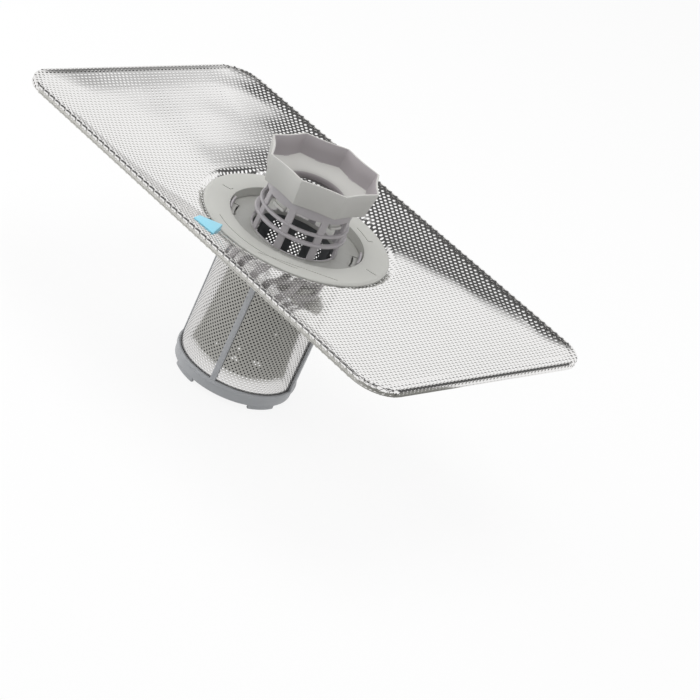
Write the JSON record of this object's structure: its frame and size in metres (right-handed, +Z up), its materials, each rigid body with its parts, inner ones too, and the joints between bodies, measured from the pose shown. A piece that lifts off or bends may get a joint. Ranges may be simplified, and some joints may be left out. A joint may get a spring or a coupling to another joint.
{
  "type": "dishwasher filter",
  "caption": "Dishwasher filter: perforated steel plate, mesh micro filter with a locking flange and a lift-out coarse filter with an octagonal grip cup.",
  "frame": {"origin": "on the cylinder's axis at the lower face of the bayonet lugs", "axes": "+Z up along the cylinder's axis, +X along the plate's long sides"},
  "size_m": [0.334, 0.192, 0.1538],
  "materials": {
    "perforated_steel": "polished, perforated with round holes",
    "mesh_steel": "fine perforation, satin",
    "blue_plastic": "satin moulded",
    "light_grey_plastic": "satin moulded",
    "grey_plastic": "satin moulded",
    "lilac_grey_plastic": "satin moulded",
    "warm_grey_plastic": "satin moulded"
  },
  "bodies": {
    "micro_filter": {"lock_collar": "light_grey_plastic", "mesh_frame": "grey_plastic", "fine_mesh": "mesh_steel"},
    "plate": {"filter_plate": "perforated_steel", "marker_tab": "blue_plastic"},
    "coarse_filter": {"coarse_cage": "lilac_grey_plastic", "strainer_tube": "grey_plastic", "grip_cup": "warm_grey_plastic"}
  },
  "joints": [
    {"name": "plate_turn", "type": "hinge", "parent": "micro_filter", "child": "plate", "pos_m": [0, 0, 0.1062], "axis": [0, 0, -1], "range_deg": [0, 58]},
    {"name": "lift", "type": "slide", "parent": "micro_filter", "child": "coarse_filter", "axis": [0, 0, 1], "range_m": [0, 0.095]}
  ]
}
